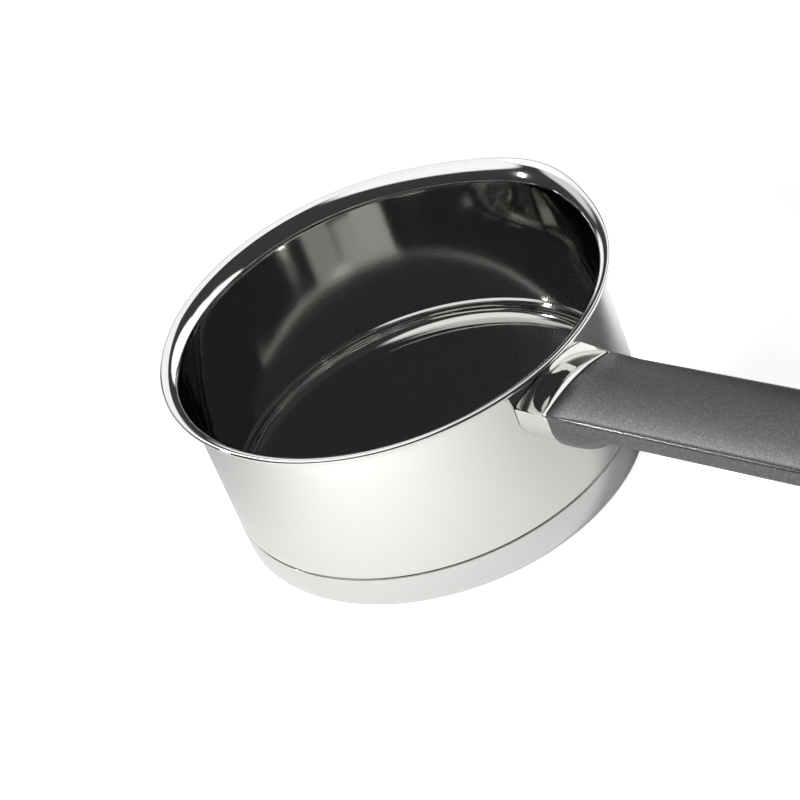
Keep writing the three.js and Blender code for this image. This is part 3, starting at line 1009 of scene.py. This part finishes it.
def make_world():
    """White to the camera, soft panels in a dim room to metal, and a little fill to the rest."""
    world = bpy.data.worlds.new("studio")
    world.use_nodes = True
    bpy.context.scene.world = world
    nodes = world.node_tree.nodes
    links = world.node_tree.links
    output = nodes["World Output"]
    fill = nodes["Background"]
    fill.inputs["Color"].default_value = WHITE
    fill.inputs["Strength"].default_value = FILL_LEVEL

    where = nodes.new("ShaderNodeTexCoord")
    bright = None
    towards = where.outputs["Generated"]
    for heading, lift, full, none, inside in SEEN_BY_METAL:
        panel = zone(nodes, links, towards, heading, lift, full, none, ROOM_LEVEL, inside)
        if bright is None:
            bright = panel
        else:
            joined = nodes.new("ShaderNodeMath")
            joined.operation = "MAXIMUM"
            links.new(bright, joined.inputs[0])
            links.new(panel, joined.inputs[1])
            bright = joined.outputs[0]
    mirrored = nodes.new("ShaderNodeBackground")
    links.new(bright, mirrored.inputs["Strength"])
    mirrored.inputs["Color"].default_value = WHITE

    path = nodes.new("ShaderNodeLightPath")
    by_mirror = nodes.new("ShaderNodeMixShader")
    links.new(mirror_ray(nodes, links, path), by_mirror.inputs["Fac"])
    links.new(fill.outputs[0], by_mirror.inputs[1])
    links.new(mirrored.outputs[0], by_mirror.inputs[2])
    white = nodes.new("ShaderNodeBackground")
    white.inputs["Color"].default_value = WHITE
    by_camera = nodes.new("ShaderNodeMixShader")
    links.new(path.outputs["Is Camera Ray"], by_camera.inputs["Fac"])
    links.new(by_mirror.outputs[0], by_camera.inputs[1])
    links.new(white.outputs[0], by_camera.inputs[2])
    links.new(by_camera.outputs[0], output.inputs["Surface"])


def add_lamp(data, place, target, power):
    """A lamp aimed at a target, seen by neither the camera nor metal."""
    data.energy = power
    lamp = bpy.data.objects.new(data.name, data)
    aim = Vector(target) - Vector(place)
    turn = aim.to_track_quat("-Z", "Y").to_matrix().to_4x4()
    lamp.matrix_world = Matrix.Translation(place) @ turn
    lamp.visible_camera = False
    lamp.visible_glossy = False
    bpy.context.scene.collection.objects.link(lamp)
    return lamp


def add_panel(name, size, place, target, power):
    data = bpy.data.lights.new(name, "AREA")
    data.shape = "SQUARE"
    data.size = size
    return add_lamp(data, place, target, power)


def add_spot(name, radius, cone, blend, place, target, power):
    data = bpy.data.lights.new(name, "SPOT")
    data.shadow_soft_size = radius
    data.spot_size = math.radians(cone)
    data.spot_blend = blend
    return add_lamp(data, place, target, power)


def make_lights():
    """Lamps above, before and behind the pan, and a small one, only mirrored, for the grip's edge."""
    add_panel("top_soft", size=1.0, place=(0.0, 0.0, 1.4), target=(0.0, 0.0, 0.04), power=0.9)
    add_panel(
        "near_soft",
        size=0.12,
        place=(0.12, -0.28, 0.25),
        target=(0.075, -0.125, 0.0),
        power=0.82,
    )
    add_spot(
        "key_soft",
        radius=0.12,
        cone=24,
        blend=0.4,
        place=(-0.21, -0.84, 0.68),
        target=(0.08, -0.05, 0.0),
        power=37.0,
    )
    add_spot(
        "back_soft",
        radius=0.02,
        cone=24,
        blend=0.7,
        place=(-0.1, 0.3, 0.25),
        target=(-0.01, 0.115, 0.0),
        power=6.5,
    )
    edge = add_panel(
        "edge_soft",
        size=0.03,
        place=(-0.334, -0.325, 0.317),
        target=(0.17, 0.0, 0.07),
        power=1.0,
    )
    edge.visible_glossy = True
    edge.visible_diffuse = False


def make_camera():
    """The camera at the photograph's angle."""
    data = bpy.data.cameras.new("camera")
    data.lens = CAMERA_LENS
    data.clip_end = CAMERA_FAR
    camera = bpy.data.objects.new("camera", data)
    heading = Matrix.Rotation(math.radians(90 + CAMERA_AROUND), 4, "Z")
    tilt = Matrix.Rotation(math.radians(90 - CAMERA_ABOVE), 4, "X")
    roll = Matrix.Rotation(math.radians(CAMERA_ROLL), 4, "Z")
    camera.matrix_world = Matrix.Translation(CAMERA_PLACE) @ heading @ tilt @ roll
    bpy.context.scene.collection.objects.link(camera)
    bpy.context.scene.camera = camera


def coat(piece, material):
    """Give a piece one material in place of any it has."""
    piece.data.materials.clear()
    piece.data.materials.append(material)


def dress(piece, node):
    """Let a piece stand for a node of the solid model."""
    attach(piece, "root")
    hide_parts(node)


def main():
    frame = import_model()
    bpy.context.scene.view_settings.view_transform = "Standard"

    metals = make_metals()
    dress(make_vessel(metals["mirror"], metals["inner"]), "pot_body")
    dress(make_base_cap(metals["base"], metals["under"]), "base_cap")
    collar = make_collar()
    coat(collar, metals["collar"])
    dress(collar, "handle_collar")
    grip = make_grip()
    coat(grip, grip_material())
    dress(grip, "handle_grip")
    screw = make_screw()
    coat(screw, metals["zinc"])
    dress(screw, "handle_screw")
    for node in ("handle_bracket", "bracket_nut", "screw_washer"):
        coat(frame["nodes"][node], metals["dull"])
    coat(frame["nodes"]["heat_core"], metals["alloy"])

    make_floor()
    make_world()
    make_lights()
    make_camera()


main()
